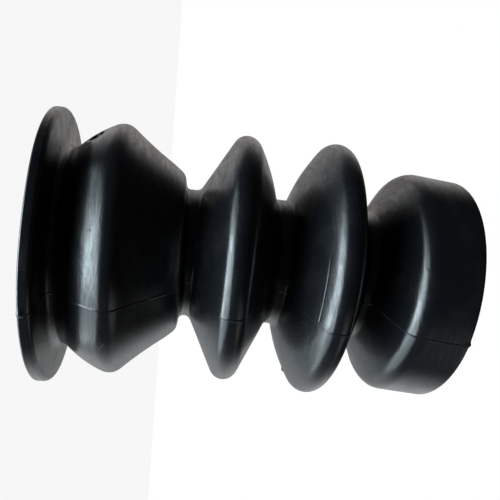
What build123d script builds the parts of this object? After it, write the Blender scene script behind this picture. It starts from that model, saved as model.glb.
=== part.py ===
from build123d import *
import math
import os

# A moulded rubber dust boot for a shock absorber. It stands on its flange: the flange's outer face
# lies on XY, centred on the origin, and the boot rises along +Z. From the floor up it has a round
# flange, a groove, one large double-cone fold, two narrow folds and a collar, all one skin.
# Being soft, it leans a little further towards +X at each neck. Sizes are in millimetres, angles
# in degrees, radii are the outside's, and a rise is measured along the boot's axis.

# Skin
wall = 2.0

# Flange with a full round rim, and the groove between it and the first fold
flange_radius = 36.0
flange_thickness = 3.0
groove_radius = 26.2
groove_round = 2.0
groove_rise = 2.4

# First fold: a short cone up to its crest and a long cone down to a soft shoulder. The shoulder
# stands a step above the first neck and falls to it at its own angle to the axis, to a tight crease.
first_fold_radius = 33.2
first_fold_round = 4.75
first_fold_rise = 12.3
shoulder_step = 5.4
shoulder_round = 3.2
shoulder_rise = 13.6
shoulder_fall = 80.0
shoulder_foot_round = 1.3

# Necks, all alike, with a short straight land, and how far the boot leans at each of them
neck_radius = 17.3
neck_round = 2.0
neck_land = 0.8
neck_lean = 2.1

# Second and third folds, each from one neck to the next
fold_pitch = 23.5
fold_radius = 33.5
fold_growth = 1.3
fold_round = 3.5
fold_rise = 12.6

# Collar that grips a tube: its shoulder above the third neck, and the straight stretch above that
bore_radius = 26.6
collar_wall = 4.0
collar_shoulder_round = 4.0
collar_end_round = 1.2
collar_rise = 11.3
collar_grip = 12.5
mouth_chamfer = 0.6

# Vent hole, square to the first fold's lower cone: how far up the cone, and how far round from -X
vent_radius = 1.8
vent_share = 0.6
vent_turn = 26.0


def touch(circle, angle):
    """The point (r, z) where a line at this angle to the axis touches a circle (r, z, rounding).

    A positive rounding is a crest, which the line runs over, and a negative one is a root, which
    it runs under. A rounding of zero is a plain corner.
    """
    r, z, rounding = circle
    return (r + rounding * math.cos(angle), z - rounding * math.sin(angle))


def flank_angle(first, second):
    """The angle to the axis of the straight flank that touches both circles."""
    r_step = second[0] - first[0]
    z_step = second[1] - first[1]
    across = first[2] - second[2]
    along = math.sqrt(r_step**2 + z_step**2 - across**2)
    return math.atan2(r_step, z_step) - math.atan2(across, along)


def draw_profile(circles):
    """Draws the flank from each circle to the next, and the arc that joins two flanks on a circle."""
    angles = [flank_angle(first, second) for first, second in zip(circles, circles[1:])]
    for first, second, angle in zip(circles, circles[1:], angles):
        Line(touch(first, angle), touch(second, angle))
    for circle, before, after in zip(circles[1:], angles, angles[1:]):
        if circle[2] != 0:
            middle = (before + after) / 2
            ThreePointArc(touch(circle, before), touch(circle, middle), touch(circle, after))


def inside(circles):
    """The same profile one wall further in: every crest and root keeps its centre.

    A crest with a rounding smaller than the wall has a plain corner inside.
    """
    inner = []
    for r, z, rounding in circles:
        inner_rounding = rounding - wall
        if rounding > 0:
            inner_rounding = max(inner_rounding, 0)
        inner.append((r, z, inner_rounding))
    return inner


def turned_span(start, outer, inner):
    """The solid between an outer and an inner profile, turned round the normal of its start plane."""
    with BuildPart() as span:
        with BuildSketch(Plane(origin=start.origin, x_dir=start.x_dir, z_dir=-start.y_dir)):
            with BuildLine():
                draw_profile(outer)
                draw_profile(inner)
                Line(outer[0][:2], inner[0][:2])
                Line(outer[-1][:2], inner[-1][:2])
            make_face()
        revolve(axis=Axis(start.origin, start.z_dir))
    return span.part


# Each span between two necks has its own straight axis, which starts at the lower neck's centre.
# Two neighbours meet on the plane halfway between their cross-sections, where both necks are the
# same ellipse, so each span is made a little too long and cut there.
def next_start(start, rise):
    """The next span's start plane: further along this span's axis, and leaning one step more."""
    return start.offset(rise).rotated((0, neck_lean, 0))


def mitre(start):
    """The cutting plane where a span meets the one below it."""
    return start.rotated((0, -neck_lean / 2, 0))


overrun = neck_land / 2 + neck_radius * math.tan(math.radians(neck_lean))


def neck_below(z):
    """Outer and inner profile where a span leaves the neck at height z, starting below the mitre."""
    root = (neck_radius + neck_round, z + neck_land / 2, -neck_round)
    outer = [(neck_radius, z - overrun, 0), root]
    inner = [(neck_radius - wall, z - overrun, 0), *inside([root])]
    return outer, inner


def neck_above(z, rounding=neck_round):
    """Outer and inner profile where a span reaches the neck at height z, ending above the mitre."""
    root = (neck_radius + rounding, z - neck_land / 2, -rounding)
    outer = [root, (neck_radius, z + overrun, 0)]
    inner = [*inside([root]), (neck_radius - wall, z + overrun, 0)]
    return outer, inner


# Flange, groove and first fold
rim_round = flange_thickness / 2
groove_height = flange_thickness + groove_rise
first_fold_height = groove_height + first_fold_rise
shoulder_height = first_fold_height + shoulder_rise
mouth_radius = groove_radius - wall

rim = (flange_radius - rim_round, rim_round, rim_round)
groove = (groove_radius + groove_round, groove_height, -groove_round)
first_crest = (first_fold_radius - first_fold_round, first_fold_height, first_fold_round)
shoulder = (neck_radius + shoulder_step - shoulder_round, shoulder_height, shoulder_round)

# The face that falls from the shoulder to the crease at its foot sets the first neck's height
fall = -math.radians(shoulder_fall)
fall_top = touch(shoulder, fall)
fall_foot = touch((neck_radius + shoulder_foot_round, 0, -shoulder_foot_round), fall)
fall_rise = (fall_foot[0] - fall_top[0]) / math.tan(fall)
first_neck_height = fall_top[1] + fall_rise - fall_foot[1] + neck_land / 2

lowest_start = Plane.XY
first_fold = [groove, first_crest, shoulder]
neck_outer, neck_inner = neck_above(first_neck_height, shoulder_foot_round)
flange_and_first_fold = turned_span(
    lowest_start,
    [(mouth_radius + mouth_chamfer, 0, 0), rim, *first_fold, *neck_outer],
    [(mouth_radius, mouth_chamfer, 0), *inside(first_fold), *neck_inner],
)

# Second and third folds
second_start = next_start(lowest_start, first_neck_height)
third_start = next_start(second_start, fold_pitch)
collar_start = next_start(third_start, fold_pitch)


def fold(start, radius):
    """One narrow fold, from the middle of its lower neck to the middle of its upper neck."""
    lower_outer, lower_inner = neck_below(0)
    upper_outer, upper_inner = neck_above(fold_pitch)
    crest = (radius - fold_round, fold_rise, fold_round)
    return turned_span(
        start,
        [*lower_outer, crest, *upper_outer],
        [*lower_inner, *inside([crest]), *upper_inner],
    )


second_fold = fold(second_start, fold_radius)
third_fold = fold(third_start, fold_radius + fold_growth)

# Collar, whose straight bore begins where the skin's inner cone reaches the bore's radius
collar_radius = bore_radius + collar_wall
collar_length = collar_rise + collar_grip
neck_outer, neck_inner = neck_below(0)
collar_shoulder = (collar_radius - collar_shoulder_round, collar_rise, collar_shoulder_round)
collar_cone_angle = flank_angle(neck_outer[1], collar_shoulder)
inner_foot = touch(neck_inner[1], collar_cone_angle)
bore_start = inner_foot[1] + (bore_radius - inner_foot[0]) / math.tan(collar_cone_angle)
collar = turned_span(
    collar_start,
    [
        *neck_outer,
        collar_shoulder,
        (collar_radius - collar_end_round, collar_length - collar_end_round, collar_end_round),
        (bore_radius + mouth_chamfer, collar_length, 0),
    ],
    [*neck_inner, (bore_radius, bore_start, 0), (bore_radius, collar_length - mouth_chamfer, 0)],
)

# The four spans, each cut to its mitres
spans = [flange_and_first_fold, second_fold, third_fold, collar]
starts = [lowest_start, second_start, third_start, collar_start]
cut_spans = []
for place, span in enumerate(spans):
    with BuildPart() as cut_span:
        add(span)
        if place > 0:
            split(bisect_by=mitre(starts[place]), keep=Keep.TOP)
        if place < len(spans) - 1:
            split(bisect_by=mitre(starts[place + 1]), keep=Keep.BOTTOM)
    cut_spans.append(cut_span.part)

# The vent's plane lies on the first fold's lower cone, with its normal pointing out of the cone
cone_angle = flank_angle(groove, first_crest)
cone_foot = Vector(touch(groove, cone_angle))
cone_top = Vector(touch(first_crest, cone_angle))
vent_place = cone_foot + (cone_top - cone_foot) * vent_share
vent_side = Vector(-1, 0, 0).rotate(Axis.Z, vent_turn)
vent_plane = Plane(
    origin=vent_side * vent_place.X + Vector(0, 0, vent_place.Y),
    z_dir=vent_side * math.cos(cone_angle) - Vector(0, 0, math.sin(cone_angle)),
)

with BuildPart() as dust_boot:
    add(cut_spans)
    with Locations(vent_plane):
        Hole(radius=vent_radius, depth=2 * wall)

dust_boot.part.label = "dust_boot"
os.makedirs("parts", exist_ok=True)
export_step(dust_boot.part, "parts/dust_boot.step")

bore_middle = collar_start.offset((bore_start + collar_length - mouth_chamfer) / 2)
print("bore middle", bore_middle.origin, "bore axis", bore_middle.z_dir)
print("bore length", collar_length - mouth_chamfer - bore_start)
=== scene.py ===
# %% [markdown]
# # A dust boot in black rubber
#
# A dust boot is the bellows that keeps dirt off a shock absorber's rod. It is one moulded skin of
# rubber: a round flange, a groove, one large fold, two narrow folds and a collar. It stands on its
# flange, its axis rises along Z, and it leans a little towards X because it is soft.
#
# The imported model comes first. It fixes where everything is, and nothing in it is moved.

import bpy
import numpy as np
from mathutils import Matrix


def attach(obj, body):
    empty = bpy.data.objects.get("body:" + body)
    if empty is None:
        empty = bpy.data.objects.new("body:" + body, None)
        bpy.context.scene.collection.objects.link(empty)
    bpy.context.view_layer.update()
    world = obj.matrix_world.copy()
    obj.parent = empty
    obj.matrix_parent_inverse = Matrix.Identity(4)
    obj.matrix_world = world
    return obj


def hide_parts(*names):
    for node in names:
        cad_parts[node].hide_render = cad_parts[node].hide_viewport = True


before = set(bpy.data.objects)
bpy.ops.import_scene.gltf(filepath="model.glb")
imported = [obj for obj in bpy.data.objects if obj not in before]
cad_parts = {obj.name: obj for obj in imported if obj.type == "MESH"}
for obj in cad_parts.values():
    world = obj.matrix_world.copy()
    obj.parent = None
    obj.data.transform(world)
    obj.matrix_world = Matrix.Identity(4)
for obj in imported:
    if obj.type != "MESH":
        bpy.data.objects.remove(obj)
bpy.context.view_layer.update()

# %% [markdown]
# ## Sizes
#
# All sizes are written in millimetres and turned into metres where a mesh is made. A circle on the
# boot's outline is three numbers: how far its centre is from the axis, how high it is, and its
# radius. The radius is positive on a crest, negative in a root and zero at a plain corner.

# %% Sizes of the boot
MM = 0.001
WALL = 2.0
MOUTH_CHAMFER = 0.6
NECK_RADIUS = 17.3
NECK_LEAN = np.radians(2.1)
NECK_HEIGHTS = [36.43, 23.5, 23.5]
BORE_RADIUS = 26.6
BORE_START = 9.01
COLLAR_LENGTH = 23.8

lower_mouth = (26.2 - WALL, 0.0, 0.0)
rim_low = (35.4, 0.5, 0.5)
rim_high = (34.7, 1.8, 1.2)
groove = (28.2, 5.4, -2.0)
first_crest = (28.45, 17.7, 4.75)
shoulder = (19.5, 31.3, 3.2)
shoulder_foot = (18.6, 36.03, -1.3)
neck_leaving = (19.3, 0.4, -2.0)
neck_reaching = (19.3, 23.1, -2.0)
second_crest = (30.0, 12.6, 3.5)
third_crest = (31.3, 12.6, 3.5)
collar_shoulder = (25.8, 11.6, 4.8)
collar_end = (29.4, 22.6, 1.2)

# %% [markdown]
# ## The outline
#
# A designer draws such a profile as straight flanks that run over the crests and under the roots.
# The same few circles give both the skin's faces: one wall further in, every circle keeps its centre
# and its radius shrinks by the wall. The points lie closer together on the arcs than on the flanks,
# because that is where the light turns. A flank that bulges a little is one more circle, a very
# large one, between the two that it joins.

# %% Flanks and arcs through a chain of circles
def touch(circle, angle):
    """Where a line at this angle to the axis touches the circle: the centre plus the radius times
    the line's normal, (cosine, minus sine)."""
    r, z, rounding = circle
    return np.stack([r + rounding * np.cos(angle), z - rounding * np.sin(angle)], axis=-1)


def flank_angle(first, second):
    """Angle to the axis of the line that touches both circles: the direction between their centres,
    less the angle whose tangent is the difference of the radii over the line's length."""
    across = first[2] - second[2]
    r_step, z_step = second[0] - first[0], second[1] - first[1]
    along = np.sqrt(max(r_step**2 + z_step**2 - across**2, 0.0))
    return np.arctan2(r_step, z_step) - np.arctan2(across, along)


def bow(first, second, radius):
    """The large circle that makes a bowed flank between two circles: it touches both, so its centre
    is the radius less each circle's own from them, on the axis' side."""
    a, b = np.array(first[:2]), np.array(second[:2])
    from_a, from_b = radius - first[2], radius - second[2]
    apart = np.linalg.norm(b - a)
    ahead = (b - a) / apart
    share = (apart**2 + from_a**2 - from_b**2) / (2 * apart)
    inward = np.array([-ahead[1], ahead[0]])
    r, z = a + ahead * share + inward * np.sqrt(from_a**2 - share**2)
    return (r, z, radius)


def outline(circles, step, turn=np.radians(9)):
    """Points (radius, height) along a chain of circles: evenly spaced on each flank, about a step
    apart, and evenly turned on each arc, at most one turn apart."""
    angles = [flank_angle(a, b) for a, b in zip(circles, circles[1:])]
    ends = [touch(circles[0], angles[0])[None]]
    for circle, before, after in zip(circles[1:], angles, angles[1:]):
        turned = abs(after - before)
        count = int(np.ceil(max(turned / turn, turned * abs(circle[2]) / step))) + 1 if circle[2] else 1
        ends.append(touch(circle, np.linspace(before, after, count)))
    ends.append(touch(circles[-1], angles[-1])[None])
    parts = [ends[0]]
    for first, second in zip(ends, ends[1:]):
        a, b = first[-1], second[0]
        count = int(np.ceil(np.linalg.norm(b - a) / step))
        share = np.arange(1, count)[:, None] / max(count, 1)
        parts += [a + (b - a) * share, second]
    points = np.concatenate(parts)
    apart = np.linalg.norm(np.diff(points, axis=0, prepend=points[:1] - 1), axis=1)
    return points[apart > 0.02]


def one_wall_in(circles):
    """The same chain one wall further in. A crest sharper than the wall has a plain corner there."""
    return [(r, z, max(s - WALL, 0.0) if s > 0 else s - WALL) for r, z, s in circles]


first_fold = [groove, bow(groove, first_crest, 31.0), first_crest, shoulder, shoulder_foot]
second_fold = [neck_leaving, second_crest, neck_reaching]
third_fold = [neck_leaving, bow(neck_leaving, third_crest, 70.0), third_crest, neck_reaching]
neck, inner_neck = NECK_RADIUS, NECK_RADIUS - WALL
outer_chains = [
    [(lower_mouth[0] + MOUTH_CHAMFER, 0, 0), rim_low, rim_high, *first_fold, (neck, NECK_HEIGHTS[0], 0)],
    [(neck, 0, 0), *second_fold, (neck, NECK_HEIGHTS[1], 0)],
    [(neck, 0, 0), *third_fold, (neck, NECK_HEIGHTS[2], 0)],
    [(neck, 0, 0), neck_leaving, collar_shoulder, collar_end,
     (BORE_RADIUS + MOUTH_CHAMFER, COLLAR_LENGTH, 0)],
]
inner_chains = [
    [(lower_mouth[0], MOUTH_CHAMFER, 0), *one_wall_in(first_fold), (inner_neck, NECK_HEIGHTS[0], 0)],
    [(inner_neck, 0, 0), *one_wall_in(second_fold), (inner_neck, NECK_HEIGHTS[1], 0)],
    [(inner_neck, 0, 0), *one_wall_in(third_fold), (inner_neck, NECK_HEIGHTS[2], 0)],
    [(inner_neck, 0, 0), *one_wall_in([neck_leaving]), (BORE_RADIUS, BORE_START, 0),
     (BORE_RADIUS, COLLAR_LENGTH - MOUTH_CHAMFER, 0)],
]


def rows_of(chains, step):
    """The spans' outlines one after another, as columns: radius, height in the span, span number.
    Two spans share the ring at their neck, so each span but the last drops its final point."""
    parts = []
    for span, chain in enumerate(chains):
        points = outline(chain, step)
        if span < len(chains) - 1:
            points = points[:-1]
        parts.append(np.column_stack([points, np.full(len(points), span)]))
    return np.concatenate(parts)


outer_rows = rows_of(outer_chains, 0.9)
inner_rows = rows_of(inner_chains, 2.2)[::-1]
rows = np.concatenate([outer_rows, inner_rows])
on_outside = np.arange(len(rows)) < len(outer_rows)
radius, height, span = rows[:, 0], rows[:, 1], rows[:, 2].astype(int)
print("outline of", len(outer_rows), "outer and", len(inner_rows), "inner points")

# %% [markdown]
# ## From outline to skin
#
# The outline is turned round the axis, as a potter turns a bowl, but the axis here is four straight
# stretches that lean a little more at each neck. Two stretches share the ring where they meet, on
# the plane halfway between them. Going up the outside and down the inside closes the skin on itself.
#
# The mould opens lengthwise, so two fine lines of flash run up the boot, opposite each other. They
# are narrower than the other detail, so the columns of the grid crowd together there.

# %% Columns round the axis
PARTING = np.radians([-64.4, 115.6])
TORN_FLASH = np.radians(7.5)
FINE = np.append(PARTING, TORN_FLASH)
crowd = np.array([0.1, 0.2, 0.3, 0.42, 0.58, 0.8, 1.1]) / 30
crowd = np.concatenate([-crowd[::-1], [0], crowd])
even = np.radians(np.arange(0, 360, 2.0))
apart = np.abs(np.angle(np.exp(1j * (even[:, None] - FINE)))).min(axis=1)
around = np.concatenate([even[apart > 1.7 / 30], *[(p + crowd) % (2 * np.pi) for p in FINE]])
around = np.sort(around)
print(len(around), "columns, so", 2 * len(around) * len(rows), "triangles")


# %% Rings carried along the leaning axis
def axis_frames():
    """Origin, sideways and lengthwise direction of each straight stretch of the axis: each starts
    at the end of the one before, one lean further over towards X."""
    lean = NECK_LEAN * np.arange(4)
    side = np.column_stack([np.cos(lean), 0 * lean, -np.sin(lean)])
    up = np.column_stack([np.sin(lean), 0 * lean, np.cos(lean)])
    steps = up[:3] * np.array(NECK_HEIGHTS)[:, None]
    origin = np.concatenate([np.zeros((1, 3)), np.cumsum(steps, axis=0)])
    return origin, side, up


def on_axis(span, r, z, angle):
    """Point at distance r and angle from the axis, z along its stretch: origin + r cos(angle) side
    + r sin(angle) Y + z up. Arrays of one shape, in millimetres."""
    origin, side, up = axis_frames()
    out = origin[span] + (r * np.cos(angle))[..., None] * side[span] + z[..., None] * up[span]
    out[..., 1] += r * np.sin(angle)
    return out


def rise(x):
    """0 below 0, 1 above 1 and 3x² - 2x³ between: a change with no kink at either end."""
    x = np.clip(x, 0, 1)
    return x * x * (3 - 2 * x)


def toward(angle, degrees, width):
    """1 at one side of the boot, fading as a bell round it: exp of minus the angle off over the
    width, squared. Both are in degrees."""
    off = np.degrees(np.angle(np.exp(1j * (angle - np.radians(degrees)))))
    return np.exp(-((off / width) ** 2))


def settled(span, r, z, angle):
    """How the soft skin has settled away from the turned shape, in millimetres: (along, outward).
    Up is a point's share of the way from neck to crest. A fold leans by rise(up), and a flank
    bows by 4 up (1 - up), each more on one side of the boot than on the other."""
    near, far_x = np.maximum(-np.sin(angle), 0) ** 2, np.maximum(np.cos(angle), 0) ** 2
    crest = np.where(span == 1, 33.5, 34.8)
    up = np.clip((r - NECK_RADIUS) / (crest - NECK_RADIUS), 0, 1)
    bowed = 4 * up * (1 - up)
    lower = rise((13.0 - z) / 2.0)

    # Second fold: leans down on the near side, and both its flanks are bowed
    second = rise(up) * (-2.0 * near - 0.55 * far_x) - 0.6 * bowed * lower * near
    second = second + bowed * (1 - lower) * (0.45 - 0.45 * np.cos(angle))

    # Third fold: hardly leans, and the root of its lower flank sits a little higher
    third = rise(up) * (-0.2 * far_x) - 0.3 * bowed * lower * near + 0.3 * bowed * (1 - lower)
    third = third + 0.5 * lower * rise(z / 1.5) * (1 - rise(up / 0.6))

    # Flange: its rim is lifted at one place. Long cone: sunk in the middle. Collar: a little full
    flange = 0.35 * toward(angle, -105, 26) * rise((r - 29) / 6) * (z < 4)
    cone = np.clip((z - 19.0) / 12.0, 0, 1)
    collar = (0.3 + 0.35 * np.cos(angle)) * rise((z - 6) / 5)
    along = np.select([span == 0, span == 1, span == 2], [flange, second, third], 0.0)
    outward = np.select([span == 0, span == 3], [-0.4 * 4 * cone * (1 - cone), collar], 0.0)
    return along, outward


shared_ring = (span > 0) & (height == 0)
tilt_of_ring = np.where(shared_ring, np.tan(NECK_LEAN / 2), 0.0)
angle = np.broadcast_to(around, (len(rows), len(around)))
r_grid = np.broadcast_to(radius[:, None], angle.shape)
span_grid = np.broadcast_to(span[:, None], angle.shape)
z_grid = height[:, None] + tilt_of_ring[:, None] * r_grid * np.cos(angle)
sunk, swelled = settled(span_grid, r_grid, z_grid, angle)
ideal = on_axis(span_grid, r_grid + swelled, z_grid + sunk, angle)
step_along = np.linalg.norm(np.diff(rows[:, :2], axis=0, prepend=rows[:1, :2]), axis=1)
step_along[span != np.roll(span, 1)] = 0
along = np.cumsum(step_along)
spread = np.round(np.ptp(ideal.reshape(-1, 3), axis=0), 2)
print("skin", spread, "mm, outline", round(float(along[-1]), 1), "mm long")


# %% [markdown]
# ## What the mould and the soft rubber do to it
#
# A turned shape alone looks like plastic. The real skin has a raised line of flash along the parting
# plane, a step there because the two halves of the mould met a little out of line, and very shallow
# waves, because soft rubber sags as it cools. The flash ends in a small nub at the flange's rim and
# another at the collar's end, and a torn scrap of it stands on the third fold. All of these are pushed
# along the skin's own normals.

# %% Normals of the skin
def normals_of(grid):
    """Unit normals: the cross product of the steps along the columns and along the rows, both taken
    from neighbour to neighbour, with the grid closed in both directions."""
    down_rows = np.roll(grid, -1, axis=0) - np.roll(grid, 1, axis=0)
    round_columns = np.roll(grid, -1, axis=1) - np.roll(grid, 1, axis=1)
    cross = np.cross(round_columns, down_rows)
    return cross / np.linalg.norm(cross, axis=-1, keepdims=True)


normal = normals_of(ideal)
from_parting = np.angle(np.exp(1j * (angle[..., None] - PARTING)))
from_parting = from_parting * r_grid[..., None]
outside = on_outside[:, None] & (radius[:, None] > NECK_RADIUS - 0.1)

# %% Flash, mould step and waves
FLASH_HEIGHT, FLASH_WIDTH = 0.13, 0.16
MOULD_STEP = 0.08
s = along[:, None]
to_parting = np.abs(from_parting).min(axis=-1)
uneven = 0.05 * np.sin(s / 2.3) * np.sin(s / 5.1 + 1) + 0.03 * np.sin(s / 0.9)
flash = (FLASH_HEIGHT + uneven) * np.exp(-((to_parting / FLASH_WIDTH) ** 2))

# Nubs of flash: where each is, how wide and how tall
nubs = [
    ((15.4, -32.3, 0.9), 0.7, 0.7),
    ((18.0, -27.9, 105.2), 0.6, 0.45),
    ((31.9, 4.2, 65.9), 0.45, 0.6),
]
for middle, wide, tall in nubs:
    off = np.linalg.norm(ideal - np.array(middle), axis=-1)
    flash = np.maximum(flash, tall * np.exp(-((off / wide) ** 2)))

# The mould's step: half is 0.5 on one side of the parting plane and -0.5 on the other
half = rise(from_parting[..., 0] / 0.3 + 0.5) - rise(from_parting[..., 1] / 0.3 + 0.5) - 0.5
half = np.where(to_parting > 0.2, np.sign(np.sin(angle - PARTING[0])) * 0.5, half)

# Shallow waves of three lengths, round the boot and along it, none of them at the flange's face
waves = (
    0.05 * np.sin(3 * angle + s / 31 + 0.6) * np.sin(s / 17)
    + 0.04 * np.sin(5 * angle - s / 23 + 2.0)
    + 0.03 * np.sin(2 * angle + s / 7.3)
)
waves = waves * rise(height[:, None] / 4 + (span[:, None] > 0))
pushed = ideal + normal * (np.where(outside, flash, 0) + waves)[..., None]
above_floor = rise(height[:, None] / 3 + (span[:, None] > 0))
pushed[..., 2] += np.where(outside, MOULD_STEP * half * above_floor, 0)
pushed[..., 2] = np.maximum(pushed[..., 2], 0)
print("flash stands up to", round(float(np.where(outside, flash, 0).max()), 2), "mm proud")


# %% [markdown]
# ## The skin as a mesh
#
# The grid closes on itself in both directions, so every point joins four faces and there is no open
# edge. Its faces carry a UV map in metres, round the boot and along its outline, for any pattern
# that should follow the surface.

# %% A mesh from a closed grid
def closed_mesh(name, grid, around_m, along_m):
    """Mesh of a grid that is closed in both directions. Point (i, j) has number i times the columns
    plus j, and each face joins it to its next row and next column, the last ones to the first."""
    n_rows, n_columns = grid.shape[:2]
    i, j = np.meshgrid(np.arange(n_rows), np.arange(n_columns), indexing="ij")
    i2, j2 = (i + 1) % n_rows, (j + 1) % n_columns
    row, next_row = i * n_columns, i2 * n_columns
    corners = np.stack([row + j, row + j2, next_row + j2, next_row + j], -1)
    mesh = bpy.data.meshes.new(name)
    mesh.from_pydata(grid.reshape(-1, 3), [], corners.reshape(-1, 4))
    u = np.append(around_m, around_m[0] + 2 * np.pi * 30 * MM)
    v = np.append(along_m, along_m[-1] + 0.6 * MM)
    uv = np.stack([u[np.stack([j, j + 1, j + 1, j], -1)], v[np.stack([i, i, i + 1, i + 1], -1)]], -1)
    mesh.uv_layers.new(name="skin").data.foreach_set("uv", uv.reshape(-1).astype(np.float32))
    mesh.polygons.foreach_set("use_smooth", np.ones(len(mesh.polygons), bool))
    mesh.update()
    return mesh


def show(mesh):
    """An object that carries the mesh, in the scene's collection."""
    piece = bpy.data.objects.new(mesh.name, mesh)
    bpy.context.scene.collection.objects.link(piece)
    return piece


boot = show(closed_mesh("boot_skin", pushed * MM, around * 30 * MM, along * MM))
print("boot_skin has", len(boot.data.polygons), "faces")

# %% [markdown]
# ## The vent hole
#
# A small hole through the large fold's lower cone lets air in and out as the boot folds. It is cut
# as a drill would do it, with a body that flares slightly at the outer face, so that the edge is
# broken and catches the light. The cut is applied, so the finished mesh holds the hole itself.

# %% Cutting the vent
VENT_RADIUS, VENT_SHARE, VENT_TURN = 1.8, 0.6, 26
cone_angle = flank_angle(groove, first_crest)
cone_foot, cone_top = touch(groove, cone_angle), touch(first_crest, cone_angle)
vent_at = cone_foot + VENT_SHARE * (cone_top - cone_foot)
vent_turn = np.radians(180 + VENT_TURN)
vent_side = np.array([np.cos(vent_turn), np.sin(vent_turn), 0])
vent_axis = vent_side * np.cos(cone_angle) - np.array([0, 0, np.sin(cone_angle)])
vent_middle = vent_side * vent_at[0] + np.array([0, 0, vent_at[1]])


def turned_body(name, middle, axis, profile, sides=48):
    """Closed body turned round an axis through the middle. The profile holds distances from the
    axis and heights along it, and its first and last points lie on the axis."""
    across = np.cross(axis, [0, 0, 1.0])
    across /= np.linalg.norm(across)
    turned = np.linspace(0, 2 * np.pi, sides, endpoint=False)
    ring = np.cos(turned)[:, None] * across + np.sin(turned)[:, None] * np.cross(axis, across)
    profile = np.asarray(profile, float)
    grid = middle + profile[1:-1, None, :1] * ring + profile[1:-1, None, 1:] * np.asarray(axis)
    ends = middle + profile[[0, -1], 1:] * np.asarray(axis)
    n = len(profile) - 2
    i, j = np.meshgrid(np.arange(n - 1), np.arange(sides), indexing="ij")
    j2 = (j + 1) % sides
    walls = np.stack([i * sides + j, i * sides + j2, (i + 1) * sides + j2, (i + 1) * sides + j], -1)
    k = np.arange(sides)
    k2 = (k + 1) % sides
    low = np.stack([np.full(sides, n * sides), k2, k], -1)
    high = np.stack([np.full(sides, n * sides + 1), (n - 1) * sides + k, (n - 1) * sides + k2], -1)
    mesh = bpy.data.meshes.new(name)
    faces = walls.reshape(-1, 4).tolist() + low.tolist() + high.tolist()
    mesh.from_pydata(np.concatenate([grid.reshape(-1, 3), ends]) * MM, [], faces)
    mesh.update()
    return mesh


drill = show(turned_body(
    "vent_drill", vent_middle, vent_axis,
    [(0, -4), (VENT_RADIUS, -4), (VENT_RADIUS, -0.25), (VENT_RADIUS + 0.9, 0.65), (0, 0.65)],
))
cut = boot.modifiers.new("vent", "BOOLEAN")
cut.operation, cut.solver, cut.object = "DIFFERENCE", "EXACT", drill
bpy.context.view_layer.update()
cut_mesh = bpy.data.meshes.new_from_object(boot.evaluated_get(bpy.context.evaluated_depsgraph_get()))
boot.modifiers.clear()
boot.data = cut_mesh
cut_mesh.name = "boot_skin"
bpy.data.objects.remove(drill)
print("with the vent, boot_skin has", len(cut_mesh.polygons), "faces")

# %% [markdown]
# ## Shader maths
#
# A material is a tree of nodes. Written as plain expressions it is shorter and easier to follow, so
# a small class wraps a socket: plus, minus and times on it add Math nodes.

# %% Shader maths as Python expressions
class Value:
    """A socket of a shader tree. Plus, minus and times make Math nodes, numbers stay numbers."""

    def __init__(self, tree, socket):
        self.tree, self.socket = tree, socket

    def node(self, kind, settings=None, out=0, **inputs):
        """A node of this type: its settings first, then its inputs, by name with _ for a space, or
        by number as i0, i1. A value is linked and anything else is set."""
        made = self.tree.nodes.new(kind)
        for name, value in (settings or {}).items():
            setattr(made, name, value)
        for name, value in inputs.items():
            key = int(name[1:]) if name[0] == "i" and name[1:].isdigit() else name.replace("_", " ")
            if isinstance(value, Value):
                self.tree.links.new(value.socket, made.inputs[key])
            else:
                made.inputs[key].default_value = value
        return Value(self.tree, made.outputs[out])

    def maths(self, operation, a, b=0.0):
        return self.node("ShaderNodeMath", {"operation": operation}, i0=a, i1=b)

    def __add__(self, other):
        return self.maths("ADD", self, other)

    def __radd__(self, other):
        return self.maths("ADD", other, self)

    def __sub__(self, other):
        return self.maths("SUBTRACT", self, other)

    def __rsub__(self, other):
        return self.maths("SUBTRACT", other, self)

    def __mul__(self, other):
        return self.maths("MULTIPLY", self, other)

    def __rmul__(self, other):
        return self.maths("MULTIPLY", other, self)

    def between(self, low, high):
        """0 at low, 1 at high, smooth between and flat outside."""
        return self.node("ShaderNodeMapRange", {"interpolation_type": "SMOOTHSTEP"},
                         Value=self, From_Min=low, From_Max=high)


def new_material(name):
    """A material with a Principled shader. Returns it, the shader node and a value that begins
    expressions on its tree: the Object coordinates."""
    material = bpy.data.materials.new(name)
    material.use_nodes = True
    tree = material.node_tree
    coordinates = tree.nodes.new("ShaderNodeTexCoord")
    return material, tree.nodes["Principled BSDF"], Value(tree, coordinates.outputs["Object"])


# %% [markdown]
# ## Satin black rubber
#
# Carbon-black rubber is nearly black all through, and what the eye reads is its satin gloss. Three
# noise patterns break it up: grain from the mould's fine blasting, streaks that run round the boot
# as the mould was turned, and clouds of haze where wax has bloomed to the surface. Rubbed streaks
# carry a thin polished coat. Five small pips are left from the mould's air holes, and one scratch
# crosses the large fold. All of them read Object coordinates, so they stay on the skin.
#
# Two more values follow. A crease is a narrow ring round the third fold's own axis, kept to a short
# stretch of its lower flank. And one half of the mould was polished better than the other, so the
# coat is stronger on that half of the boot. The parting plane follows the leaning axis, whose path
# above the first neck is close to a parabola.

# %% Patterns in the rubber
def mark(place, centre, size, turn=(0, 0, 0)):
    """1 inside a small ellipsoid of this size, in millimetres, and 0 outside it. A Mapping node of
    type Texture takes the centre away, turns back and divides by the size, so that the ellipsoid
    becomes a ball, and the length of what is left tells how far out a point lies."""
    moved = place.node("ShaderNodeMapping", {"vector_type": "TEXTURE"}, Vector=place,
                       Location=tuple(c * MM for c in centre), Rotation=turn,
                       Scale=tuple(s * MM for s in size))
    out = moved.node("ShaderNodeVectorMath", {"operation": "LENGTH"}, out=1, i0=moved)
    return 1 - out.between(0.4, 1.0)


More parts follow.
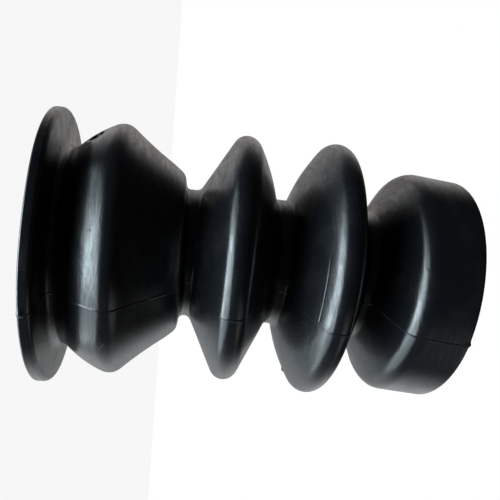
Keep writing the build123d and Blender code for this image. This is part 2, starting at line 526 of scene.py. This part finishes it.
rubber, surface, place = new_material("moulded_rubber")
stretched = place.node("ShaderNodeMapping", Vector=place, Scale=(130.0, 130.0, 800.0))
streaks = place.node("ShaderNodeTexNoise", Vector=stretched, Scale=1.0, Detail=3.0, Roughness=0.55,
                     Distortion=0.6)
grain = place.node("ShaderNodeTexNoise", Vector=place, Scale=2600.0, Detail=3.0, Roughness=0.6)
cloud = place.node("ShaderNodeTexNoise", Vector=place, Scale=110.0, Detail=4.0, Roughness=0.55)
haze = cloud.between(0.45, 0.75)
fine = place.node("ShaderNodeMapping", Vector=place, Rotation=(0.0, 0.45, 0.0),
                  Scale=(320.0, 320.0, 1500.0))
rubbed = place.node("ShaderNodeTexNoise", Vector=fine, Scale=1.0, Detail=4.0, Roughness=0.6,
                    Distortion=0.8)
print("rubber patterns: streaks, grain, cloud and haze")

# %% A crease pressed into the third fold
crease_centre = on_axis(np.array(2), np.array(0.0), np.array(0.0), 0.0)
from_axis = place.node("ShaderNodeMapping", {"vector_type": "TEXTURE"}, Vector=place,
                       Location=tuple(crease_centre * MM), Rotation=(0, 2 * NECK_LEAN, 0),
                       Scale=(MM, MM, MM))
own = from_axis.node("ShaderNodeSeparateXYZ", Vector=from_axis).socket.node.outputs
flat = from_axis.node("ShaderNodeVectorMath", {"operation": "MULTIPLY"}, i0=from_axis, i1=(1, 1, 0))
out_from = flat.node("ShaderNodeVectorMath", {"operation": "LENGTH"}, out=1, i0=flat)
across, up = Value(place.tree, own[0]), Value(place.tree, own[2])
low_flank = up.between(4.0, 6.0) * (1 - up.between(11.6, 12.6))
stretch = across.between(-5.0, 2.0) * (1 - across.between(12.4, 13.2))
near_side = Value(place.tree, own[1]).between(-20.0, -24.0)
crease = out_from.between(30.9, 31.2) * (1 - out_from.between(31.2, 31.5))
crease = crease * stretch * near_side * low_flank
print("crease round", np.round(crease_centre, 1), "mm")

# %% Which half of the mould a point was in
at = place.node("ShaderNodeSeparateXYZ", Vector=place).socket.node.outputs
x_at, y_at, z_at = (Value(place.tree, at[i]) for i in range(3))
past_neck = z_at - 36.0 * MM
past_neck = past_neck.maths("MAXIMUM", past_neck, 0.0)
axis_x = 1.05 * past_neck * past_neck
off_plane = (x_at - axis_x) * float(-np.sin(PARTING[0])) + y_at * float(np.cos(PARTING[0]))
gloss_half = off_plane.between(0.15 * MM, -0.15 * MM)
print("parting plane through the leaning axis, one half glossier than the other")

# %% Its gloss, colour and relief
gloss = 0.25 + 0.07 * (cloud - 0.5) + 0.05 * (grain - 0.5) + 0.05 * haze
tone = place.node("ShaderNodeMix", {"data_type": "RGBA"}, out=2, i0=haze,
                  i6=(0.0040, 0.0045, 0.0058, 1), i7=(0.0075, 0.0078, 0.0085, 1))
pips = [
    (-26.8, -24.1, 1.7),
    (-3.3, -31.6, 13.8),
    (0.5, -29.8, 92.4),
    (22.05, -25.2, 93.0),
    (19.9, -27.0, 98.0),
]
raised = sum(mark(place, pip, (0.45, 0.45, 0.45)) for pip in pips)
scratch = mark(place, (23.0, -23.9, 17.2), (0.22, 3.0, 1.9), turn=(0, -0.8, 0))
relief = 0.060 * streaks + 0.006 * grain - 0.04 * crease + 0.05 * raised - 0.03 * scratch
gloss = gloss + 0.2 * scratch
bump = place.node("ShaderNodeBump", Height=relief, Strength=1.0, Distance=MM)
tree = rubber.node_tree
polish = (0.5 * streaks + 0.5 * rubbed).between(0.38, 0.62) * (1 - 0.5 * haze)
polish = polish * (0.12 + 0.48 * gloss_half)
tree.links.new(gloss.socket, surface.inputs["Roughness"])
tree.links.new(polish.socket, surface.inputs["Coat Weight"])
surface.inputs["Coat Roughness"].default_value = 0.2
tree.links.new(tone.socket, surface.inputs["Base Color"])
tree.links.new(bump.socket, surface.inputs["Normal"])
surface.inputs["Specular IOR Level"].default_value = 0.43

# The finished boot takes the plain solid's place on its body
boot.data.materials.clear()
boot.data.materials.append(rubber)
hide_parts("dust_boot")
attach(boot, "root")
print("moulded_rubber has", len(tree.nodes), "nodes")

# %% [markdown]
# ## A white floor
#
# The photograph's ground is plain white. A floor lit to white would need far too much light on the
# boot, so this one is white by itself: it glows at a strength of 1, but only for rays that come from
# the camera, from a reflection or through glass. A small share of it is an ordinary pale surface,
# which keeps the boot's shadow. Light from below passes it, since the boot was photographed lying.

# %% Floor
def white_stage(name, shadow):
    """White to the camera and to reflections, less a share that is a plain lit surface and so keeps
    the object's shadow."""
    material = bpy.data.materials.new(name)
    material.use_nodes = True
    tree = material.node_tree
    path = tree.nodes.new("ShaderNodeLightPath")
    camera, glossy, through = (
        Value(tree, path.outputs[f"Is {kind} Ray"]) for kind in ("Camera", "Glossy", "Transmission")
    )
    seen = (camera + glossy + through).between(0, 1) * (1 - shadow)
    glow = seen.node("ShaderNodeEmission", Color=(1, 1, 1, 1), Strength=1.0)
    plain = seen.node("ShaderNodeBsdfDiffuse", Color=(0.9, 0.9, 0.9, 1))
    mixed = seen.node("ShaderNodeMixShader", i0=seen, i1=plain, i2=glow)
    tree.links.new(mixed.socket, tree.nodes["Material Output"].inputs["Surface"])
    return material


floor_mesh = bpy.data.meshes.new("floor")
floor_mesh.from_pydata([(-3, -3, 0), (3, -3, 0), (3, 3, 0), (-3, 3, 0)], [], [(0, 1, 2, 3)])
floor_mesh.update()
floor = show(floor_mesh)
floor.data.materials.append(white_stage("white_floor", 0.08))
floor.visible_glossy = floor.visible_shadow = floor.visible_diffuse = False
print("floor", floor.dimensions[:])

# %% [markdown]
# ## Light from a studio all round
#
# Black gloss shows its surroundings more than its own colour, so the light is drawn as a room: a
# level of brightness for each direction. The flange's end of the room holds a broad cool lamp, whose
# sharp edge gives each fold its bright line. Behind the boot there is a white wall, which greys the
# skin towards its outline, less so where the skin is seen at its most slanting, because gloss is
# strongest there. A weak window at one side lifts the necks and the large cone out of the black.
# On the camera's side the room is dark, and so is the middle of every fold.

# %% How bright the room is in each direction
world = bpy.data.worlds.new("studio")
world.use_nodes = True
bpy.context.scene.world = world
tree = world.node_tree
path = tree.nodes.new("ShaderNodeLightPath")
seen = Value(tree, path.outputs["Is Camera Ray"])
towards = Value(tree, tree.nodes.new("ShaderNodeTexCoord").outputs["Generated"])
parts = towards.node("ShaderNodeSeparateXYZ", Vector=towards)
x, y, z = (Value(tree, parts.socket.node.outputs[i]) for i in range(3))

# The wall behind (+Y), dimmer straight ahead, on the side of -X and towards both ends
wall = (y + 0.1 * x).between(0.08, 0.75) * (1 - 0.62 * y.between(0.6, 1.0))
wall = wall * (0.8 + 0.4 * x.between(-0.6, 0.6))
wall = wall * (1 - z.between(0.35, 0.68)) * (0.2 + 0.8 * z.between(-0.8, -0.35))

# The lamp at the flange's end (-Z) in two steps, cut off behind, weaker at both sides
to_side = x.between(0.2, 0.8)
lamp = 6.0 * (1 - (z - 0.16 * to_side).between(-0.74, -0.66)) + 6.8 * (1 - z.between(-0.90, -0.78))
lamp = lamp * (1 - (y - 0.45 * to_side).between(0.0, 0.35)) * (0.3 + 0.7 * x.between(-0.6, 0.0))
lamp = lamp * (1 - 0.45 * to_side)
lamp = lamp * (1 + 0.42 * (1 - y.between(-0.55, -0.25)))

# The window on the side of +X, in front, stronger towards the collar's end
window = 0.7 * x.between(0.42, 0.88) * (1 - y.between(-0.2, 0.2)) * z.between(-0.35, -0.1)
window = window * (0.12 + 1.1 * z.between(0.32, 0.62))
level = 0.02 + wall + lamp + window
print("room drawn with", len(tree.nodes), "nodes")

# %% Its colour, and white for the camera
plain = towards.node("ShaderNodeMix", {"data_type": "RGBA"}, out=2, i0=x.between(-0.4, 0.4),
                     i6=(1.02, 0.985, 0.965, 1), i7=(0.96, 1.0, 1.02, 1))
tint = towards.node("ShaderNodeMix", {"data_type": "RGBA"}, out=2, i0=z.between(-0.75, -0.3),
                    i6=(0.80, 0.96, 1.04, 1), i7=plain)
room = seen.node("ShaderNodeBackground", Color=tint, Strength=level)
white = seen.node("ShaderNodeBackground", Color=(1, 1, 1, 1), Strength=1.0)
mixed = seen.node("ShaderNodeMixShader", i0=seen, i1=room, i2=white)
tree.links.new(mixed.socket, tree.nodes["World Output"].inputs["Surface"])
print("studio has", len(tree.nodes), "nodes")

# %% [markdown]
# ## The camera
#
# In the photograph the boot lies across the picture, its flange at the left and leaning a little
# towards the camera. The part itself stands on its flange, so the camera is turned on its side
# instead of the boot. Two angles say how the boot's axis lies in the picture, and one point says
# where it is seen: so far right, so far down and so far away. The focal length is in pixels, which
# the picture's width and a sensor of 36 mm turn into a lens.

# %% Camera
FOCAL_PIXELS, PICTURE_PIXELS, SENSOR = 575.34, 500, 36.0
pitch, yaw = np.radians(3.89), np.radians(7.79)
boot_up = np.array([np.cos(pitch) * np.cos(yaw), np.sin(pitch) * np.cos(yaw), np.sin(yaw)])
picture_down = np.array([0.0, 1.0, 0.0])
boot_side = picture_down - (boot_up @ picture_down) * boot_up
boot_side /= np.linalg.norm(boot_side)
turn = np.column_stack([boot_side, np.cross(boot_up, boot_side), boot_up])
aim = np.array([0.614, 0.0, 53.19]) * MM
seen_at = np.array([-0.462, 2.397, 161.3]) * MM
camera_place = aim - turn.T @ seen_at
camera_axes = turn.T @ np.diag([1.0, -1.0, -1.0])
camera = bpy.data.objects.new("camera", bpy.data.cameras.new("camera"))
bpy.context.scene.collection.objects.link(camera)
placed = np.eye(4)
placed[:3, :3], placed[:3, 3] = camera_axes, camera_place
camera.matrix_world = Matrix(placed.tolist())
camera.data.sensor_width = SENSOR
camera.data.lens = SENSOR * FOCAL_PIXELS / PICTURE_PIXELS
camera.data.clip_start, camera.data.clip_end = 0.01, 20.0
bpy.context.scene.camera = camera
bpy.context.scene.view_settings.view_transform = "Standard"
print("camera at", np.round(camera_place / MM, 1), "mm")
